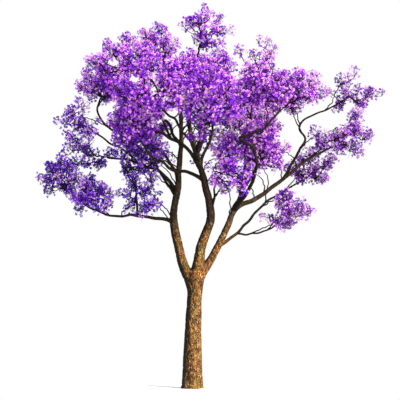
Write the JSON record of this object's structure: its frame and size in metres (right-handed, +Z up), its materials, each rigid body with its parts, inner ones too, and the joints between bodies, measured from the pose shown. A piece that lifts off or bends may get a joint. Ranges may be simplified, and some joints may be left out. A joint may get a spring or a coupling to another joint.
{
  "type": "jacaranda tree",
  "caption": "Leafless jacaranda tree in full violet bloom: a short flared trunk forks into spreading stems and boughs that carry masses of panicles, cut flat at ground level.",
  "frame": {"origin": "the middle of the trunk's flat cut at ground level", "axes": "+Z up along the tree, +X to the right and +Y away from the viewer in the picture"},
  "size_m": [7.2373, 6.0581, 8.0487],
  "materials": {
    "bark": "rough furrowed bark",
    "deep_violet_blossom": "matte petals",
    "violet_blossom": "matte petals",
    "pink_violet_blossom": "matte petals"
  },
  "bodies": {
    "root": {"trunk": "bark", "middle_stem": "bark", "left_stem": "bark", "right_stem": "bark", "left_low_bough": "bark", "left_low_spur": "bark", "left_hanging_bough": "bark", "left_middle_bough": "bark", "left_outer_bough": "bark", "left_reaching_bough": "bark", "crossing_bough": "bark", "left_inner_bough": "bark", "left_back_bough": "bark", "back_left_bough": "bark", "front_left_bough": "bark", "top_left_bough": "bark", "top_front_bough": "bark", "front_bough": "bark", "front_right_bough": "bark", "rising_bough": "bark", "middle_right_bough": "bark", "right_heart_bough": "bark", "right_high_bough": "bark", "top_right_bough": "bark", "far_top_bough": "bark", "right_low_bough": "bark", "low_right_bough": "bark", "right_back_bough": "bark", "back_right_bough": "bark", "back_bough": "bark", "top_tower_blossom": "violet_blossom", "top_left_back_blossom": "violet_blossom", "far_right_mid_blossom": "pink_violet_blossom", "far_left_blossom": "deep_violet_blossom", "left_low_blossom": "deep_violet_blossom", "left_hanging_blossom": "deep_violet_blossom", "left_middle_blossom": "deep_violet_blossom", "left_outer_blossom": "violet_blossom", "left_upper_blossom": "violet_blossom", "left_front_blossom": "violet_blossom", "left_inner_blossom": "deep_violet_blossom", "left_back_blossom": "violet_blossom", "back_left_blossom": "violet_blossom", "front_left_blossom": "violet_blossom", "top_left_front_blossom": "violet_blossom", "top_front_blossom": "violet_blossom", "front_middle_blossom": "violet_blossom", "front_right_blossom": "pink_violet_blossom", "crown_heart_blossom": "violet_blossom", "middle_right_blossom": "violet_blossom", "right_heart_blossom": "pink_violet_blossom", "right_upper_blossom": "pink_violet_blossom", "top_right_blossom": "pink_violet_blossom", "far_right_top_blossom": "pink_violet_blossom", "right_low_blossom": "pink_violet_blossom", "low_right_blossom": "pink_violet_blossom", "right_back_blossom": "pink_violet_blossom", "back_right_blossom": "pink_violet_blossom", "back_middle_blossom": "violet_blossom"}
  },
  "joints": []
}
